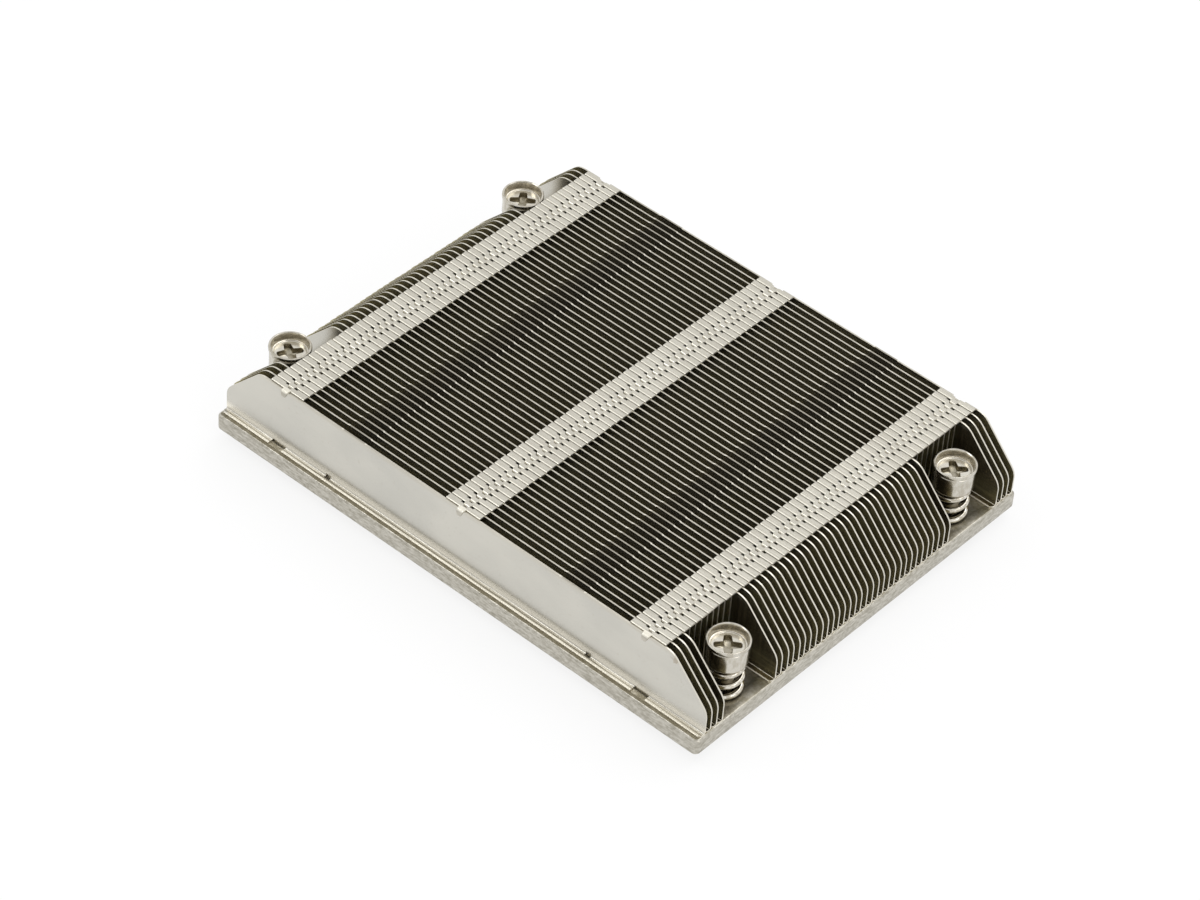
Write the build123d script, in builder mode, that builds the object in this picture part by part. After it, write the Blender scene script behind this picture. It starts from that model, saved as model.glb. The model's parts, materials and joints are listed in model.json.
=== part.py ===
from build123d import *
import os

# Passive heatsink for a low server: a flat base plate, a stack of folded fins
# soldered to it, and four captive screws on compression springs.
# X runs along the fins, Y across the stack, Z up from the contact face.

# Base plate
base_length = 104.0
base_width = 79.8
base_thickness = 3.2
base_corner_radius = 1.0
base_edge_break = 0.35

# Fin stack
fin_count = 56
fin_pitch = 1.392
fin_sheet = 0.3
fin_end_inset = 0.4
fin_height = 12.8
fin_fit = 0.03
fold_break = 0.22

# Open stretches of each fin's top edge are cut a little below the flanges
edge_drop = 0.3

# Fin ends: a short upright edge, then a slope up to the top edge
end_upright = 4.6
end_slope_run = 7.5
end_corner_break = 1.3

# Three rows of top flanges close the stack into light strips
strip_count = 3
strip_width = 7.2
strip_shift = 0.4
screw_clearance = 1.3

# Fins beside the screws stop at the outer strips
end_fin_count = 4
pocket_fin_count = 8

# Cut-outs in the first fin's bottom fold
lock_notch_width = 3.0
lock_notch_places = (-39.5, 38.9)
relief_slot_width = 1.0
relief_slot_places = (-28.4, 27.9)
relief_slot_height = 0.7
relief_slot_reach = 0.9

# Captive screws
screw_end_inset = 5.0
screw_spacing_y = 56.0
screw_diameter = 4.0
neck_diameter = 3.4
screw_hole_clearance = 0.2
screw_tip_drop = 2.0
head_rise = 10.7
head_height = 4.6
head_diameter = 7.2
cup_diameter = 6.2
cup_depth = 1.5
cross_span = 4.2
cross_arm_width = 1.0
cross_depth = 1.3
cross_taper = 12.0

# Retaining rings under the base
ring_thickness = 0.6
ring_diameter = 7.0
ring_mouth = 2.4
ring_play = 0.05
groove_diameter = 3.0
groove_fit = 0.06
ring_pocket_depth = 1.7
ring_pocket_clearance = 0.6

# Springs
wire_diameter = 1.0
wire_sides = 8
spring_mean_diameter = 5.4
spring_turns = 2.1
spring_runs_per_turn = 12
spring_play = 0.05

# Places worked out from the sizes above
fin_top = base_thickness + fin_height
edge_top = fin_top - edge_drop
stack_start = -fin_count * fin_pitch / 2
fin_length = base_length - 2 * fin_end_inset
screw_spacing_x = base_length - 2 * screw_end_inset
outer_strip_place = (screw_spacing_x - head_diameter - strip_width) / 2 - screw_clearance
strip_spacing = 2 * outer_strip_place / (strip_count - 1)
strip_places = [strip_shift + (n - (strip_count - 1) / 2) * strip_spacing for n in range(strip_count)]
strip_outer_left = strip_places[0] - strip_width / 2
strip_outer_right = strip_places[-1] + strip_width / 2
head_top = base_thickness + head_rise
head_bottom = head_top - head_height
ring_top = ring_pocket_depth - ring_play
groove_top = ring_top + ring_play
groove_bottom = ring_top - ring_thickness - ring_play
screw_places = [
    (-screw_spacing_x / 2, -screw_spacing_y / 2),
    (screw_spacing_x / 2, -screw_spacing_y / 2),
    (-screw_spacing_x / 2, screw_spacing_y / 2),
    (screw_spacing_x / 2, screw_spacing_y / 2),
]

os.makedirs("parts", exist_ok=True)


def save(piece, name):
    """Label one finished piece and write it."""
    piece.label = name
    export_step(piece, f"parts/{name}.step")


def fin_back(index):
    """Y of the far face of a fin, counted from the front."""
    return stack_start + (index + 1) * fin_pitch


def is_short(index):
    """True for a fin that stands beside a screw and stops at the outer strips."""
    from_end = min(index, fin_count - 1 - index)
    return end_fin_count <= from_end < end_fin_count + pocket_fin_count


def make_base():
    """Base plate with a hole and a ring pocket for each captive screw."""
    hole_radius = screw_diameter / 2 + screw_hole_clearance
    pocket_radius = ring_diameter / 2 + ring_pocket_clearance
    with BuildPart() as base:
        with BuildSketch():
            RectangleRounded(base_length, base_width, base_corner_radius)
        extrude(amount=base_thickness)
        rims = base.faces().filter_by(Axis.Z).edges()
        chamfer(rims, base_edge_break)
        with Locations(Plane.XY):
            with GridLocations(screw_spacing_x, screw_spacing_y, 2, 2):
                Hole(hole_radius)
        with BuildSketch(Plane.XY):
            with GridLocations(screw_spacing_x, screw_spacing_y, 2, 2):
                Circle(pocket_radius)
        extrude(amount=ring_pocket_depth, mode=Mode.SUBTRACT)
    return base.part


def fin_corners(index):
    """Corners of a fin's upright sheet below its flanges, as (X, Z)."""
    if is_short(index):
        return [
            (strip_outer_left, base_thickness),
            (strip_outer_right, base_thickness),
            (strip_outer_right, edge_top),
            (strip_outer_left, edge_top),
        ]
    half = fin_length / 2
    return [
        (-half, base_thickness),
        (half, base_thickness),
        (half, base_thickness + end_upright),
        (half - end_slope_run, edge_top),
        (-half + end_slope_run, edge_top),
        (-half, base_thickness + end_upright),
    ]


def front_fold_cuts(back, flange_tip):
    """Lock notches and relief slots for the first fin's bottom fold."""
    with BuildPart() as cuts:
        with BuildSketch(Plane.XY.offset(base_thickness)):
            for place in lock_notch_places:
                with Locations((place, flange_tip)):
                    Rectangle(lock_notch_width, fin_pitch - fin_sheet, align=(Align.CENTER, Align.MIN))
            for place in relief_slot_places:
                with Locations((place, back)):
                    Rectangle(relief_slot_width, fin_sheet + relief_slot_reach, align=(Align.CENTER, Align.MAX))
        extrude(amount=relief_slot_height)
    return cuts.part


def make_fin(index):
    """One fin: an upright sheet, a bottom flange and the top flanges, all toward -Y."""
    back = fin_back(index)
    flange_tip = back - fin_pitch + fin_fit
    flange_depth = back - flange_tip
    flange_middle = (back + flange_tip) / 2
    corners = fin_corners(index)
    left, right = corners[0][0], corners[1][0]
    is_front = index == 0
    cuts = front_fold_cuts(back, flange_tip) if is_front else None
    with BuildPart() as fin:
        with BuildSketch(Plane.XZ.offset(-back)) as sheet:
            with BuildLine():
                Polyline(*corners, close=True)
            make_face()
            if not is_short(index):
                upper = sheet.vertices().group_by(Axis.Y)[1:]
                chamfer([corner for level in upper for corner in level], end_corner_break)
            if not is_front:
                for place in strip_places:
                    with Locations((place, edge_top)):
                        Rectangle(strip_width, edge_drop, align=(Align.CENTER, Align.MIN))
        extrude(amount=fin_sheet)
        with BuildSketch(Plane.XY.offset(base_thickness)):
            with Locations(((left + right) / 2, flange_middle)):
                Rectangle(right - left, flange_depth)
        extrude(amount=fin_sheet)
        if not is_front:
            with BuildSketch(Plane.XY.offset(fin_top)):
                for place in strip_places:
                    with Locations((place, flange_middle)):
                        Rectangle(strip_width, flange_depth)
            extrude(amount=-fin_sheet)
            folds = fin.edges().filter_by(Axis.X).group_by(Axis.Z)[-1].group_by(Axis.Y)[-1]
            chamfer(folds, fold_break)
        if is_front:
            add(cuts, mode=Mode.SUBTRACT)
    return fin.part


def make_screw(place):
    """Captive screw: thread blank, ring groove, relieved neck and cup-shaped head."""
    with BuildPart() as screw:
        with BuildSketch(Plane.XY.offset(-screw_tip_drop)):
            with Locations(place):
                Circle(screw_diameter / 2)
        extrude(amount=screw_tip_drop + groove_bottom)
        with BuildSketch(Plane.XY.offset(groove_bottom)):
            with Locations(place):
                Circle(groove_diameter / 2)
        extrude(amount=groove_top - groove_bottom)
        with BuildSketch(Plane.XY.offset(groove_top)):
            with Locations(place):
                Circle(neck_diameter / 2)
        extrude(amount=head_bottom - groove_top)
        with BuildSketch(Plane.XY.offset(head_bottom)):
            with Locations(place):
                Circle(head_diameter / 2)
        extrude(amount=head_height)
        with BuildSketch(Plane.XY.offset(head_top)):
            with Locations(place):
                Circle(cup_diameter / 2)
        extrude(amount=-cup_depth, mode=Mode.SUBTRACT)
        with BuildSketch(Plane.XY.offset(head_top - cup_depth)):
            with Locations(place):
                Rectangle(cross_span, cross_arm_width)
                Rectangle(cross_arm_width, cross_span)
        extrude(amount=-cross_depth, taper=cross_taper, mode=Mode.SUBTRACT)
    return screw.part


def make_ring(place):
    """Open retaining ring that snaps into the screw's groove under the base."""
    x, y = place
    with BuildPart() as ring:
        with BuildSketch(Plane.XY.offset(ring_top)):
            with Locations(place):
                Circle(ring_diameter / 2)
                Circle(groove_diameter / 2 + groove_fit, mode=Mode.SUBTRACT)
            with Locations((x, y - ring_diameter / 2)):
                Rectangle(ring_mouth, ring_diameter, mode=Mode.SUBTRACT)
        extrude(amount=-ring_thickness)
    return ring.part


def make_spring(place):
    """Compression spring between the base and the screw's head, its helix drawn in straight runs."""
    x, y = place
    first = base_thickness + wire_diameter / 2 + spring_play
    last = head_bottom - wire_diameter / 2 - spring_play
    runs = round(spring_turns * spring_runs_per_turn)
    with BuildPart() as spring:
        with BuildLine(mode=Mode.PRIVATE) as coil:
            Helix(
                pitch=(last - first) / spring_turns,
                height=last - first,
                radius=spring_mean_diameter / 2,
                center=(x, y, first),
            )
        with BuildLine() as path:
            Polyline(*[coil.line @ (n / runs) for n in range(runs + 1)])
        with BuildSketch(Plane(origin=path.line @ 0, z_dir=path.line % 0)):
            RegularPolygon(wire_diameter / 2, wire_sides)
        sweep(transition=Transition.RIGHT)
    return spring.part


save(make_base(), "base_plate")

short_rows = {"front_pocket_fins": [], "rear_pocket_fins": []}
for index in range(fin_count):
    fin = make_fin(index)
    if is_short(index):
        row = "front_pocket_fins" if index < fin_count / 2 else "rear_pocket_fins"
        short_rows[row].append(fin)
    else:
        save(fin, f"fin_{index + 1:02d}")

for row, fins in short_rows.items():
    save(Compound(children=fins), row)

for number, place in enumerate(screw_places, start=1):
    save(make_screw(place), f"captive_screw_{number}")
    save(make_ring(place), f"retaining_ring_{number}")
    save(make_spring(place), f"spring_{number}")
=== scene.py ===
import json
from math import cos, pi, radians, sin, tan

import bmesh
import bpy
from mathutils import Matrix, Vector


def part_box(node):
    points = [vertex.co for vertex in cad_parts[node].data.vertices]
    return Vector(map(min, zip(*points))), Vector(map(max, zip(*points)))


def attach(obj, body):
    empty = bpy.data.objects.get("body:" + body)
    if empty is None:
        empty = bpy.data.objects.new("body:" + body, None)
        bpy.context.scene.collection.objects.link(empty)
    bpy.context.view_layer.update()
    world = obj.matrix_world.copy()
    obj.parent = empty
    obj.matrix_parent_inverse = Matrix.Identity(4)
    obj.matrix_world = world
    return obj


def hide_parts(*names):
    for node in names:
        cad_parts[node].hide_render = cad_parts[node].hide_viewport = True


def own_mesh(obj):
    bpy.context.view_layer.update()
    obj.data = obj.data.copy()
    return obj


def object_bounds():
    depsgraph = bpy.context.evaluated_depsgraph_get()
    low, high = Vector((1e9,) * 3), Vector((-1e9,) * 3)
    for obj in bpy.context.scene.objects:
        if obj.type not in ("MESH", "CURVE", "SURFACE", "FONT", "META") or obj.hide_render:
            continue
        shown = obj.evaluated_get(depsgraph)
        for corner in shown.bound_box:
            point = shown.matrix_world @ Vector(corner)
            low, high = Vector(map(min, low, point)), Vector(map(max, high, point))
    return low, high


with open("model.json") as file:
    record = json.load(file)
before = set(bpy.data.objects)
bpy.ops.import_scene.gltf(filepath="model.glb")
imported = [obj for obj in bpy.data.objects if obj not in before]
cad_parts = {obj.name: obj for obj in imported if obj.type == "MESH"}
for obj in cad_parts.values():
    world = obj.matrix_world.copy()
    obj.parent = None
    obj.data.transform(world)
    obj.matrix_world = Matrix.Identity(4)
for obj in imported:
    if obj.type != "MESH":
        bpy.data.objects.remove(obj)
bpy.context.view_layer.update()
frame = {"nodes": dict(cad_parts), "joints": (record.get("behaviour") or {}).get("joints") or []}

# Sizes and places are in millimetres where no comment says otherwise
MM = 0.001
NEAR = 1e-3

# Base plate
BASE_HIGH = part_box("base_plate")[1]
BASE_TOP = BASE_HIGH.z / MM
EDGE_ROUNDING = 0.14
EDGE_STEPS = 3
EDGE_ANGLE = radians(30)
BASE_FLAT_WITHIN = radians(0.5)
WELD_METRES = 1e-6

# Fins, read from the frame where it holds their sizes
FIRST_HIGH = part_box("fin_01")[1]
SECOND_LOW, SECOND_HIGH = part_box("fin_02")
SHORT_LOW, SHORT_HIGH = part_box("front_pocket_fins")
PITCH = (SECOND_HIGH.y - FIRST_HIGH.y) / MM
FIRST_BACK = FIRST_HIGH.y / MM
LAST_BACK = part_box("fin_56")[1].y / MM
HALF_LENGTH = FIRST_HIGH.x / MM
SHORT_LEFT = SHORT_LOW.x / MM
SHORT_RIGHT = SHORT_HIGH.x / MM
RAW_TOP = FIRST_HIGH.z / MM
FOLD_TOP = SECOND_HIGH.z / MM
FLANGE_REACH = (SECOND_HIGH.y - SECOND_LOW.y) / MM
STRIP_HALF = 3.6
STRIP_PLACES = (SHORT_LEFT + STRIP_HALF, (SHORT_LEFT + SHORT_RIGHT) / 2, SHORT_RIGHT - STRIP_HALF)

# The middle surface is laid out for sheet of the CAD's thickness, and a little less is shown,
# so that the edges look as fine as the real ones
SHEET = 0.3
SHEET_SHOWN = 0.27
SHEET_FLAT_WITHIN = radians(0.4)

# Folds: the middle surface's bends and flats
FOLD_RADIUS = 0.3
FOLD_STEPS = 3
FOLD_TURNS = [pi / 2 * step / FOLD_STEPS for step in range(FOLD_STEPS + 1)]
FOLD_CENTRE = SHEET / 2 + FOLD_RADIUS
FOOT_FLAT = BASE_TOP + SHEET / 2
FOOT_BEND = FOOT_FLAT + FOLD_RADIUS
TOP_BEND = FOLD_TOP - SHEET / 2 - FOLD_RADIUS
TOP_FLAT = TOP_BEND + FOLD_RADIUS

# The bottom flange's rounded corners: (y from the fin's back, z from the flat, inset of the end)
FOOT_ROWS = (
    (-FLANGE_REACH, -0.05, 0.45),
    (-FLANGE_REACH + 0.13, 0.0, 0.32),
    (-1.0, 0.0, 0.12),
    (-0.8, 0.0, 0.0),
)

# Fin ends
END_UPRIGHT = 4.6
END_SLOPE_RUN = 7.5
END_CORNER_RADIUS = 3.0
END_CORNER_STEPS = 4

# The fins that stand open to the screws' pockets, where the first fin is 0
POCKET_WALLS = (3, 12, 43, 52)

# Cut-outs in the first fin's bottom fold, and a painted dark line along it at a share of the flange's reach
NOTCH_PLACES = (-39.5, 38.9)
NOTCH_HALF = 1.5
RELIEF_PLACES = (-28.4, 27.9)
RELIEF_HALF = 0.55
RELIEF_RISE = 0.35
RELIEF_REACH = 0.75
DARK_LINE_SHARE = 0.66

# Locks in the middle of each strip: a slot through the fold and a hole behind it
SLOT_LEFT = -1.27
SLOT_RIGHT = 1.33
SLOT_DROP = 0.3
SLOT_REACH = 0.56
HOLE_HALF_WIDE = 0.55
HOLE_HALF_NARROW = 0.3
HOLE_END = 1.04
TAB_HALF = 0.72

# A tab reaches over the fin in front and dips into its hole: (y from that fin's back, z, half width)
LOCK_TAB = (
    (-0.2, 0.05, TAB_HALF),
    (-0.4, 0.03, 0.6),
    (-0.58, -0.1, 0.45),
    (-0.7, -0.4, 0.38),
    (-0.72, -0.75, 0.34),
)
# The tabs over the first fin hook down in front of it, in the cut edge's material as a painted highlight
HOOK_TAB = (
    (-0.2, 0.05, TAB_HALF),
    (-0.5, 0.03, 0.64),
    (-0.74, -0.16, 0.6),
    (-0.86, -0.45, 0.54),
    (-0.89, -0.85, 0.34),
)

# The sheared front edge of each top flange rolls over a little
BURR_REACH = 0.14
BURR_DROP = 0.09

# Pressed ribs that stiffen the open stretches
RIB_PLACES = (-23.1, 23.6)
RIB_HALF = 2.5
RIB_SHOULDER = 0.15
RIB_DEPTH = 0.08
RIB_FOOT = 5.2
RIB_FULL = 6.2

# A stack that is pressed together is a little uneven: how far a fin drifts and turns, and the
# shares of its drift that go along it and across the stack
FIN_DRIFT = 0.04
FIN_LEAN = radians(0.02)
DRIFT_ALONG = 1.5
DRIFT_ACROSS = 0.4

# A small flux stain on the first fin's face
STAIN_X = 44.8
STAIN_Z = 14.4

# Screws
SCREW_NUMBERS = (1, 2, 3, 4)
SCREW_LOW, SCREW_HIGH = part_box("captive_screw_4")
SCREW_X = (SCREW_LOW.x + SCREW_HIGH.x) / 2 / MM
SCREW_Y = (SCREW_LOW.y + SCREW_HIGH.y) / 2 / MM
HEAD_TOP = SCREW_HIGH.z / MM
HEAD_HEIGHT = 4.6
CUP_DEPTH = 1.5
NECK_RADIUS = 1.7
GROOVE_RADIUS = 1.5
GROOVE_HEIGHT = 0.7
THREAD_RADIUS = 2.0
THREAD_PITCH = 0.7
THREAD_DEPTH = 0.36
THREAD_TOP = 1.0
THREAD_STEPS = 8
TIP_RADIUS = 1.5
TIP_RISE = 0.5
TURN_SEGMENTS = 72

# The driver's cross: its turn in each head in degrees, and (z from the cup's floor, reach of an
# arm, half width of an arm) from its mouth to its pit
CROSS_TURNS = (60, 42, 38, 50)
CROSS_LEVELS = ((0.3, 2.35, 0.68), (-0.06, 2.22, 0.58), (-0.95, 2.0, 0.48), (-1.1, 0.9, 0.4))
CROSS_INNER = 1.3
CROSS_CORNER = 0.2

# Springs, with their turns and their facing as shares of a full turn
WIRE = 1.0
WIRE_SIDES = 14
SPRING_MEAN = 5.4
COIL_PITCH = 2.3
COIL_FIRST = -0.45
COIL_LAST = 2.75
COIL_FACING = -0.143
COIL_POINTS = 150

# Largest angles in degrees between faces that are shaded as one
SHEET_SHADING = 35.0
HEAD_SHADING = 32.0
WIRE_SHADING = 60.0

# Floor, in metres, and how much of its white the camera and the metal see
FLOOR_HALF = 3.0
FLOOR_TONE = 0.85
FLOOR_SEEN = 0.8
FLOOR_MIRRORED = 0.85

# The side of the room from which no lamp shines, at the front left and above, is a little dimmer
DIM_SIDE = (-0.46, -0.58, 0.68)
DIM_SHARE = 0.1

# Lamps: (name, place in metres, width in metres, power in watts)
LAMPS = (
    ("key", (-0.69, -0.45, 1.26), 0.5, 1.7),
    ("top", (0.1, 0.7, 1.5), 1.2, 6.0),
    ("side", (1.5, -0.2, 0.9), 0.9, 2.5),
)


class Value:
    """A node's output that does maths: an expression on values adds its Math nodes."""

    def __init__(self, graph, socket):
        self.graph = graph
        self.socket = socket

    def math(self, operation, first, second=0.0):
        return self.graph.add("ShaderNodeMath", {0: first, 1: second}, {"operation": operation})

    def __add__(self, other):
        return self.math("ADD", self, other)

    def __radd__(self, other):
        return self.math("ADD", other, self)

    def __sub__(self, other):
        return self.math("SUBTRACT", self, other)

    def __rsub__(self, other):
        return self.math("SUBTRACT", other, self)

    def __mul__(self, other):
        return self.math("MULTIPLY", self, other)

    def __rmul__(self, other):
        return self.math("MULTIPLY", other, self)

    def __truediv__(self, other):
        return self.math("DIVIDE", self, other)

    def size(self):
        return self.math("ABSOLUTE", self)

    def root(self):
        return self.math("SQRT", self)

    def cosine(self):
        return self.math("COSINE", self)

    def sine(self):
        return self.math("SINE", self)

    def smallest(self, other):
        return self.math("MINIMUM", self, other)

    def largest(self, other):
        return self.math("MAXIMUM", self, other)

    def rise(self, low, high):
        """0 below low, 1 above high, and a smooth step between."""
        inputs = {"Value": self, "From Min": low, "From Max": high}
        return self.graph.add("ShaderNodeMapRange", inputs, {"interpolation_type": "SMOOTHSTEP"})


class Graph:
    """A node tree, with one method that adds any node."""

    def __init__(self, tree):
        self.tree = tree

    def add(self, kind, inputs=None, settings=None, output=0):
        node = self.tree.nodes.new(kind)
        for name, setting in (settings or {}).items():
            setattr(node, name, setting)
        for name, value in (inputs or {}).items():
            self.plug(node.inputs[name], value)
        return Value(self, node.outputs[output]) if len(node.outputs) else None

    def plug(self, socket, value):
        if isinstance(value, Value):
            self.tree.links.new(value.socket, socket)
        else:
            socket.default_value = value


class Former(Graph):
    """A geometry tree with named inputs, given as each one's name and kind."""

    def __init__(self, name, sockets):
        super().__init__(bpy.data.node_groups.new(name, "GeometryNodeTree"))
        self.identifiers = {}
        for label, kind in sockets.items():
            item = self.tree.interface.new_socket(label, in_out="INPUT", socket_type=f"NodeSocket{kind}")
            self.identifiers[label] = item.identifier
        self.tree.interface.new_socket("Geometry", in_out="OUTPUT", socket_type="NodeSocketGeometry")

    def given(self, label):
        return self.add("NodeGroupInput", output=label)

    def painted(self, geometry, label, selection=True):
        """Geometry whose selected faces have the material of one of the inputs."""
        inputs = {"Geometry": geometry, "Selection": selection, "Material": self.given(label)}
        return self.add("GeometryNodeSetMaterial", inputs)

    def form(self, name, settings):
        """The plain mesh that the tree makes with these settings."""
        carrier = new_object(f"{name}_carrier", bpy.data.meshes.new(f"{name}_carrier"))
        modifier = carrier.modifiers.new("form", "NODES")
        modifier.node_group = self.tree
        for label, value in settings.items():
            modifier[self.identifiers[label]] = value
        return settled_mesh(carrier, name)


class Surface(Graph):
    """A new material whose tree is still empty."""

    def __init__(self, name):
        self.material = bpy.data.materials.new(name)
        self.material.use_nodes = True
        super().__init__(self.material.node_tree)
        self.tree.nodes.clear()


class Finish(Surface):
    """A material on object coordinates, with the texture moves that the metals share."""

    def __init__(self, name):
        super().__init__(name)
        self.place = self.add("ShaderNodeTexCoord", output="Object")
        self.x, self.y, self.z = [
            self.add("ShaderNodeSeparateXYZ", {0: self.place}, output=axis) / MM for axis in range(3)
        ]

    def noise(self, grain, stretch=(1.0, 1.0, 1.0), detail=3.0, roughness=0.55):
        """Noise with grains about that many millimetres across, longer where stretch is above 1."""
        scale = [1.0 / (MM * grain * s) for s in stretch]
        mapped = self.add("ShaderNodeMapping", {"Vector": self.place, "Scale": scale})
        inputs = {"Vector": mapped, "Scale": 1.0, "Detail": detail, "Roughness": roughness}
        return self.add("ShaderNodeTexNoise", inputs)

    def mix(self, factor, first, second):
        inputs = {0: factor, 6: first, 7: second}
        return self.add("ShaderNodeMix", inputs, {"data_type": "RGBA"}, output=2)

    def bump(self, height, distance, strength):
        return self.add("ShaderNodeBump", {"Height": height, "Distance": distance * MM, "Strength": strength})

    def finish(self, color, roughness, normal=None, metallic=1.0):
        inputs = {"Base Color": color, "Roughness": roughness, "Metallic": metallic}
        if normal is not None:
            inputs["Normal"] = normal
        shader = self.add("ShaderNodeBsdfPrincipled", inputs)
        self.add("ShaderNodeOutputMaterial", {"Surface": shader})
        return self.material


class FinFinish(Finish):
    """A finish that knows the places on the fins."""

    def nearest(self, along, places):
        """Millimetres from a coordinate to the nearest of some places."""
        shortest = (along - places[0]).size()
        for place in places[1:]:
            shortest = shortest.smallest((along - place).size())
        return shortest

    def ribs(self):
        """1 on the pressed ribs and 0 beside them."""
        return 1.0 - self.nearest(self.x, RIB_PLACES).rise(RIB_HALF - 0.1, RIB_HALF + 0.1)

    def rib_sides(self):
        """1 where a rib's side is pressed out of the sheet."""
        return 1.0 - (self.nearest(self.x, RIB_PLACES) - RIB_HALF).size().rise(0.1, 0.3)

    def pocket_walls(self):
        """1 on the fins that stand open to the screws' pockets."""
        backs = [FIRST_BACK + wall * PITCH for wall in POCKET_WALLS]
        return 1.0 - self.nearest(self.y, backs).rise(0.4, 0.45)

    def above_foot(self):
        """0 on the bottom flange's flat and 1 above it."""
        return self.z.rise(BASE_TOP + 0.33, BASE_TOP + 0.5)


def rgb(red, green, blue):
    return (red, green, blue, 1.0)


# Near-black brown painted as shade deep between the fins and on the right-hand pocket walls
GAP_SHADE = rgb(0.11, 0.09, 0.055)
# Pale cream painted as highlight on edges that catch the light
EDGE_HIGHLIGHT = rgb(0.86, 0.82, 0.72)


def open_tone(look, flanges, lines):
    """Pale sheet in the open, creamier and finely lined on the top flanges."""
    cloud = look.noise(9.0, (2.0, 1.0, 1.0), detail=2.0).rise(0.3, 0.7)
    pale = look.mix(cloud, rgb(0.63, 0.61, 0.55), rgb(0.57, 0.555, 0.505))
    creamy = look.mix(cloud, rgb(0.64, 0.615, 0.54), rgb(0.575, 0.55, 0.48))
    tone = look.mix(flanges, pale, creamy)
    return look.mix(flanges * lines.rise(0.42, 0.6) * 0.3, tone, rgb(0.44, 0.41, 0.35))


def gap_shade_tone(look):
    """Painted shade on the sheet between the fins, darker on the ribs, the feet and the right-hand pocket
    walls.
    """
    runs = look.noise(0.5, (1.0, 1.0, 14.0), detail=3.0)
    drawn = look.noise(0.6, (12.0, 1.0, 1.0), detail=2.0).rise(0.35, 0.65)
    tone = look.mix(runs.rise(0.35, 0.7), rgb(0.41, 0.365, 0.20), rgb(0.36, 0.32, 0.17))
    tone = look.mix(look.ribs() * 0.6, tone, rgb(0.16, 0.13, 0.08))
    low_down = 1.0 - look.z.rise(BASE_TOP + 2.0, BASE_TOP + 5.5)
    # Painted shade on the right-hand pocket walls, painted lighter low down at their right ends
    lit_foot = look.x.rise(SHORT_RIGHT + 1.5, SHORT_RIGHT + 6.0) * low_down
    shaded_wall = look.pocket_walls() * look.x.rise(SHORT_RIGHT - 2.0, SHORT_RIGHT + 0.5)
    shaded_wall = shaded_wall * (1.0 - lit_foot * (0.45 + drawn * 0.5))
    tone = look.mix(shaded_wall * (0.55 + runs * 0.8), tone, GAP_SHADE)
    # The bottom flange between the fins is painted almost black as shade
    return look.mix(0.95 - look.above_foot() * 0.95, tone, GAP_SHADE)


def with_dimple_shade(look, color, share):
    """Painted shade in the dips of the locks in the top flanges."""
    locks = 1.0 - look.nearest(look.x, STRIP_PLACES).rise(TAB_HALF, TAB_HALF + 0.1)
    # The tabs' lower parts, which dip into the holes, are painted darker as shade
    dips = locks * (1.0 - look.z.rise(FOLD_TOP - 0.4, FOLD_TOP - 0.15))
    return look.mix(dips * share * 0.8, color, rgb(0.20, 0.17, 0.12))


def with_first_fold(look, color, front_face, bend):
    """The first fin's bottom fold: painted highlight on the bend, a finely streaked flat, a painted dark
    line.
    """
    fold = front_face * (1.0 - look.z.rise(BASE_TOP + 0.35, BASE_TOP + 0.8))
    flat = fold * (1.0 - look.z.rise(BASE_TOP + 0.3, BASE_TOP + 0.36))
    streaks = look.noise(0.16, (60.0, 1.0, 1.0), detail=2.0).rise(0.42, 0.6)
    to_dark_line = (look.y - FIRST_BACK + FLANGE_REACH * DARK_LINE_SHARE).size()
    dark_line = flat * (1.0 - to_dark_line.rise(0.07, 0.15))
    # Painted highlight: a pale cream band on the bend
    color = look.mix(bend * 0.8, color, rgb(0.90, 0.85, 0.73))
    color = look.mix(fold * streaks * 0.5 + flat * 0.15, color, rgb(0.31, 0.29, 0.25))
    # A dark line painted along the flat
    return look.mix(dark_line * 0.75, color, rgb(0.17, 0.15, 0.11))


def with_stain(look, color, front_face):
    """The flux stain near the right end of the first fin's face."""
    aside = look.x - STAIN_X
    above = look.z - STAIN_Z
    spread = (aside * aside + above * above * 2.0).root() + look.noise(0.5, detail=4.0) * 2.2
    stain = (1.0 - spread.rise(1.5, 2.0)) * front_face
    return look.mix(stain * 0.5, color, rgb(0.30, 0.23, 0.14))


def make_fin_metal():
    """Thin nickel plated sheet: satin and pale outside, with painted shade between the fins."""
    look = FinFinish("fin_metal")
    lines = look.noise(0.25, (40.0, 1.0, 1.0), detail=2.0)
    specks = look.noise(0.4, detail=1.0).rise(0.70, 0.77)
    front_face = (FIRST_BACK - SHEET * 0.7 - look.y).rise(0.0, 0.05)
    rear_face = (look.y - LAST_BACK + SHEET * 0.3).rise(0.0, 0.05)
    flanges = look.z.rise(FOLD_TOP - 1.4, FOLD_TOP - 0.4)
    # The left-hand pocket walls are spared the painted shade, as light reaches them
    lit_wall = look.pocket_walls() * (SHORT_LEFT - 1.2 - look.x + look.z * 0.12).rise(0.0, 1.6)
    open_air = flanges.largest(front_face).largest(rear_face).largest(lit_wall)
    # The first fin's lower bend, which gets a painted highlight and less metallic shine
    bend = front_face * (look.above_foot() - look.z.rise(BASE_TOP + 0.8, BASE_TOP + 2.4))
    # Pale in the open, painted shade between the fins
    color = look.mix(open_air, gap_shade_tone(look), open_tone(look, flanges, lines))
    color = with_dimple_shade(look, color, open_air * (1.0 - front_face))
    color = look.mix(specks * 0.3, color, rgb(0.38, 0.34, 0.27))
    color = with_first_fold(look, color, front_face, bend)
    color = with_stain(look, color, front_face)
    roughness = 0.2 + lines * 0.08
    metallic = 0.84 + open_air * 0.16 - bend * 0.7
    return look.finish(color, roughness, look.bump(lines, 0.004, 0.5), metallic)


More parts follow.
